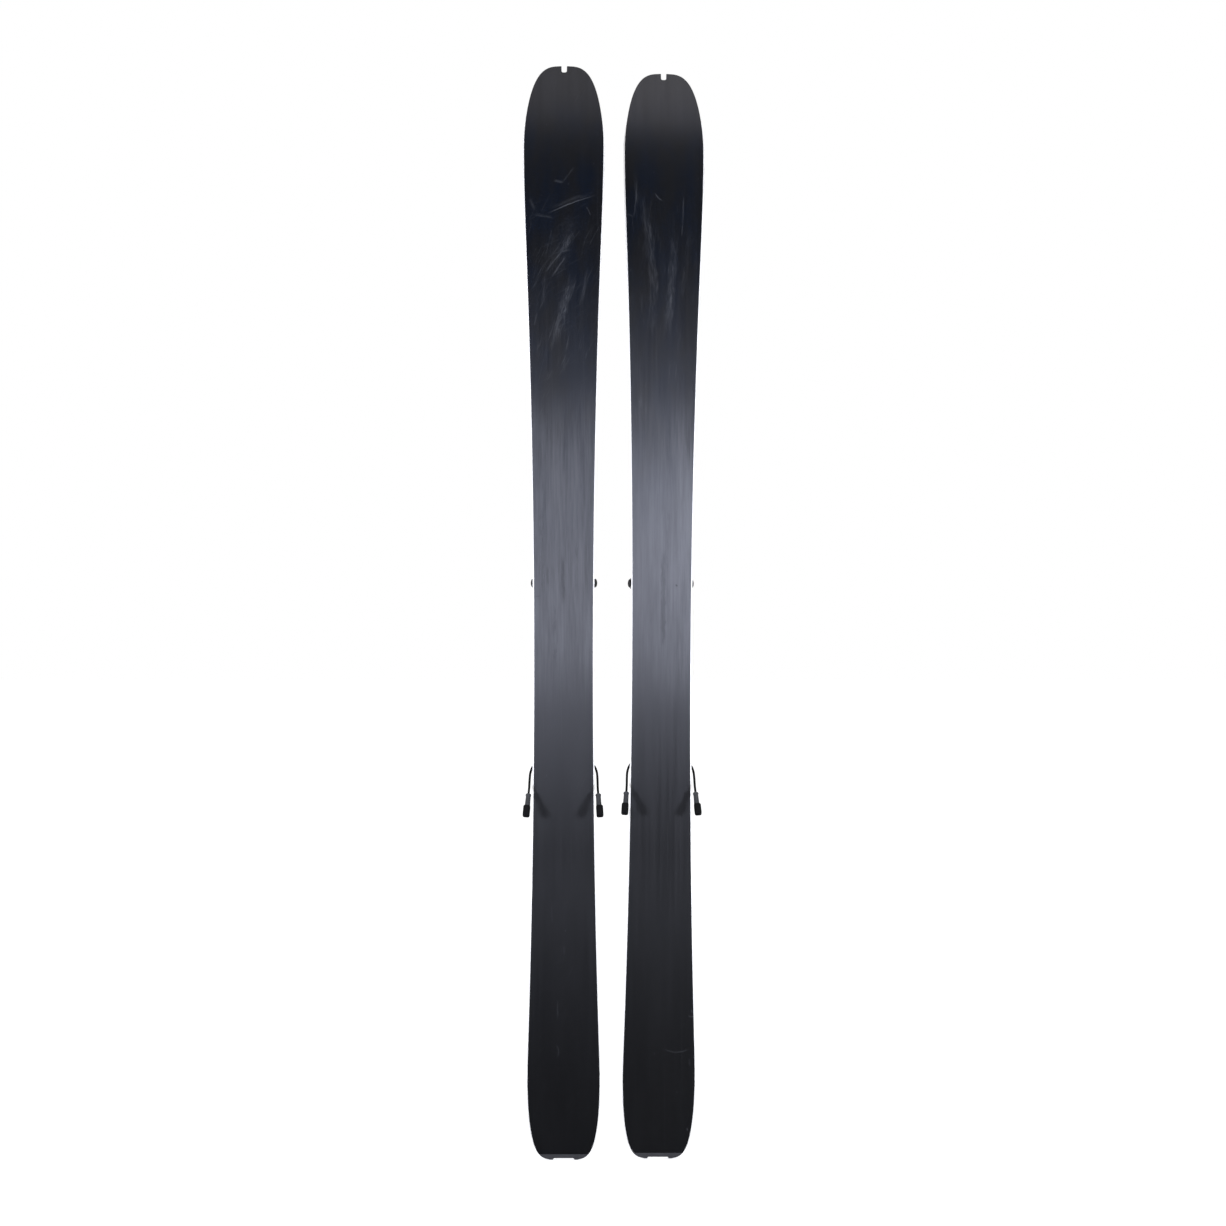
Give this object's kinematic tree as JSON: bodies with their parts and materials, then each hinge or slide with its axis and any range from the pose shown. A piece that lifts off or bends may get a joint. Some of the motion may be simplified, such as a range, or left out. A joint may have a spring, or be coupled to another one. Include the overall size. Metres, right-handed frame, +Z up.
{
  "type": "touring skis",
  "caption": "Pair of alpine touring skis standing tips up, with pin toe pieces, turning heel pieces with a riser, and ski brakes; notched tips and recessed tails take climbing skins.",
  "frame": {"origin": "on the floor under the tails, at the middle of the pair", "axes": "+Z up along the skis from tail to tip, -Y out of the running bases, +Y the side with the bindings, +X from the left ski to the right one"},
  "size_m": [0.297, 0.1622, 1.78],
  "materials": {
    "base": "structured sintered polyethylene, waxed and scratched",
    "edge": "ground steel edge",
    "sidewall": "pale sidewall plastic",
    "core": "laminated wood core",
    "tip_spacer": "black tip spacer",
    "topsheet": "plain dark top sheet",
    "protector": "dark grey tail protector",
    "alloy_black": "black anodised alloy",
    "alloy": "bead-blasted bright alloy",
    "plastic_black": "glass-filled black plastic",
    "steel": "hardened steel",
    "wire": "black coated spring wire",
    "screw": "binding screw"
  },
  "bodies": {
    "left_ski": {"left_ski_base": "base", "left_ski_core": "core", "left_ski_tip_spacer": "tip_spacer", "left_ski_topsheet": "topsheet", "left_ski_edge_left": "edge", "left_ski_edge_right": "edge", "left_ski_sidewall_left": "sidewall", "left_ski_sidewall_right": "sidewall", "left_ski_tail_protector": "protector", "left_ski_toe_plate": "alloy_black", "left_ski_toe_spring": "steel", "left_ski_heel_plate": "alloy_black", "left_ski_brake_bracket": "plastic_black", "left_ski_toe_screw_1": "screw", "left_ski_toe_screw_2": "screw", "left_ski_toe_screw_3": "screw", "left_ski_toe_screw_4": "screw", "left_ski_heel_screw_1": "screw", "left_ski_heel_screw_2": "screw", "left_ski_heel_screw_3": "screw"},
    "left_jaw_l": {"left_ski_toe_jaw_left": "alloy_black"},
    "left_jaw_r": {"left_ski_toe_jaw_right": "alloy_black"},
    "left_lever": {"left_ski_toe_lever": "plastic_black"},
    "left_turret": {"left_ski_heel_turret": "plastic_black", "left_ski_heel_pins": "steel"},
    "left_riser": {"left_ski_riser_flap": "alloy"},
    "left_brake": {"left_ski_brake_wire": "wire", "left_ski_brake_pedal": "plastic_black", "left_ski_brake_foot_left": "plastic_black", "left_ski_brake_foot_right": "plastic_black"},
    "right_ski": {"right_ski_base": "base", "right_ski_core": "core", "right_ski_tip_spacer": "tip_spacer", "right_ski_topsheet": "topsheet", "right_ski_edge_left": "edge", "right_ski_edge_right": "edge", "right_ski_sidewall_left": "sidewall", "right_ski_sidewall_right": "sidewall", "right_ski_tail_protector": "protector", "right_ski_toe_plate": "alloy_black", "right_ski_toe_spring": "steel", "right_ski_heel_plate": "alloy_black", "right_ski_brake_bracket": "plastic_black", "right_ski_toe_screw_1": "screw", "right_ski_toe_screw_2": "screw", "right_ski_toe_screw_3": "screw", "right_ski_toe_screw_4": "screw", "right_ski_heel_screw_1": "screw", "right_ski_heel_screw_2": "screw", "right_ski_heel_screw_3": "screw"},
    "right_jaw_l": {"right_ski_toe_jaw_left": "alloy_black"},
    "right_jaw_r": {"right_ski_toe_jaw_right": "alloy_black"},
    "right_lever": {"right_ski_toe_lever": "plastic_black"},
    "right_turret": {"right_ski_heel_turret": "plastic_black", "right_ski_heel_pins": "steel"},
    "right_riser": {"right_ski_riser_flap": "alloy"},
    "right_brake": {"right_ski_brake_wire": "wire", "right_ski_brake_pedal": "plastic_black", "right_ski_brake_foot_left": "plastic_black", "right_ski_brake_foot_right": "plastic_black"}
  },
  "joints": [
    {"name": "left_lever_hinge", "type": "hinge", "parent": "left_ski", "child": "left_lever", "pos_m": [-0.08185, -0.01205, 0.969], "axis": [-1, 0, 0], "range_deg": [0, 48]},
    {"name": "left_jaw_l_hinge", "type": "hinge", "parent": "left_ski", "child": "left_jaw_l", "pos_m": [-0.10585, -0.01305, 0.934], "axis": [0, 0, -1], "range_deg": [0, 18]},
    {"name": "left_jaw_r_hinge", "type": "hinge", "parent": "left_ski", "child": "left_jaw_r", "pos_m": [-0.05785, -0.01305, 0.934], "axis": [0, 0, 1], "range_deg": [0, 18]},
    {"name": "left_turret_swivel", "type": "hinge", "parent": "left_ski", "child": "left_turret", "pos_m": [-0.08185, -0.01455, 0.612], "axis": [0, 1, 0], "range_deg": [-90, 90]},
    {"name": "left_riser_hinge", "type": "hinge", "parent": "left_turret", "child": "left_riser", "pos_m": [-0.08185, 0.02195, 0.613], "axis": [1, 0, 0], "range_deg": [0, 170]},
    {"name": "left_brake_hinge", "type": "hinge", "parent": "left_ski", "child": "left_brake", "pos_m": [-0.08185, -0.01455, 0.668], "axis": [1, 0, 0], "range_deg": [0, 36], "stiffness_Nm_per_rad": 0.6},
    {"name": "right_lever_hinge", "type": "hinge", "parent": "right_ski", "child": "right_lever", "pos_m": [0.07714, 0.02147, 0.96882], "axis": [-0.9997, -0.0244, 0.0075], "range_deg": [0, 48]},
    {"name": "right_jaw_l_hinge", "type": "hinge", "parent": "right_ski", "child": "right_jaw_l", "pos_m": [0.05293, 0.01896, 0.93404], "axis": [-0.0069, -0.0264, -0.9996], "range_deg": [0, 18]},
    {"name": "right_jaw_r_hinge", "type": "hinge", "parent": "right_ski", "child": "right_jaw_r", "pos_m": [0.10092, 0.02013, 0.93368], "axis": [0.0069, 0.0264, 0.9996], "range_deg": [0, 18]},
    {"name": "right_turret_swivel", "type": "hinge", "parent": "right_ski", "child": "right_turret", "pos_m": [0.07475, 0.00956, 0.61202], "axis": [-0.0246, 0.9994, -0.0262], "range_deg": [-90, 90]},
    {"name": "right_riser_hinge", "type": "hinge", "parent": "right_turret", "child": "right_riser", "pos_m": [0.07386, 0.04606, 0.61206], "axis": [0.9997, 0.0244, -0.0075], "range_deg": [0, 170]},
    {"name": "right_brake_hinge", "type": "hinge", "parent": "right_ski", "child": "right_brake", "pos_m": [0.07514, 0.01104, 0.668], "axis": [0.9997, 0.0244, -0.0075], "range_deg": [0, 36], "stiffness_Nm_per_rad": 0.6},
    {"name": "right_ski_lift", "type": "slide", "parent": "left_ski", "child": "right_ski", "axis": [0, 0, 1], "range_m": [0, 0.3]}
  ],
  "couplings": [
    {"joint": "left_jaw_l_hinge", "follows": "left_lever_hinge", "ratio": 0.375},
    {"joint": "left_jaw_r_hinge", "follows": "left_lever_hinge", "ratio": 0.375},
    {"joint": "right_jaw_l_hinge", "follows": "right_lever_hinge", "ratio": 0.375},
    {"joint": "right_jaw_r_hinge", "follows": "right_lever_hinge", "ratio": 0.375}
  ]
}
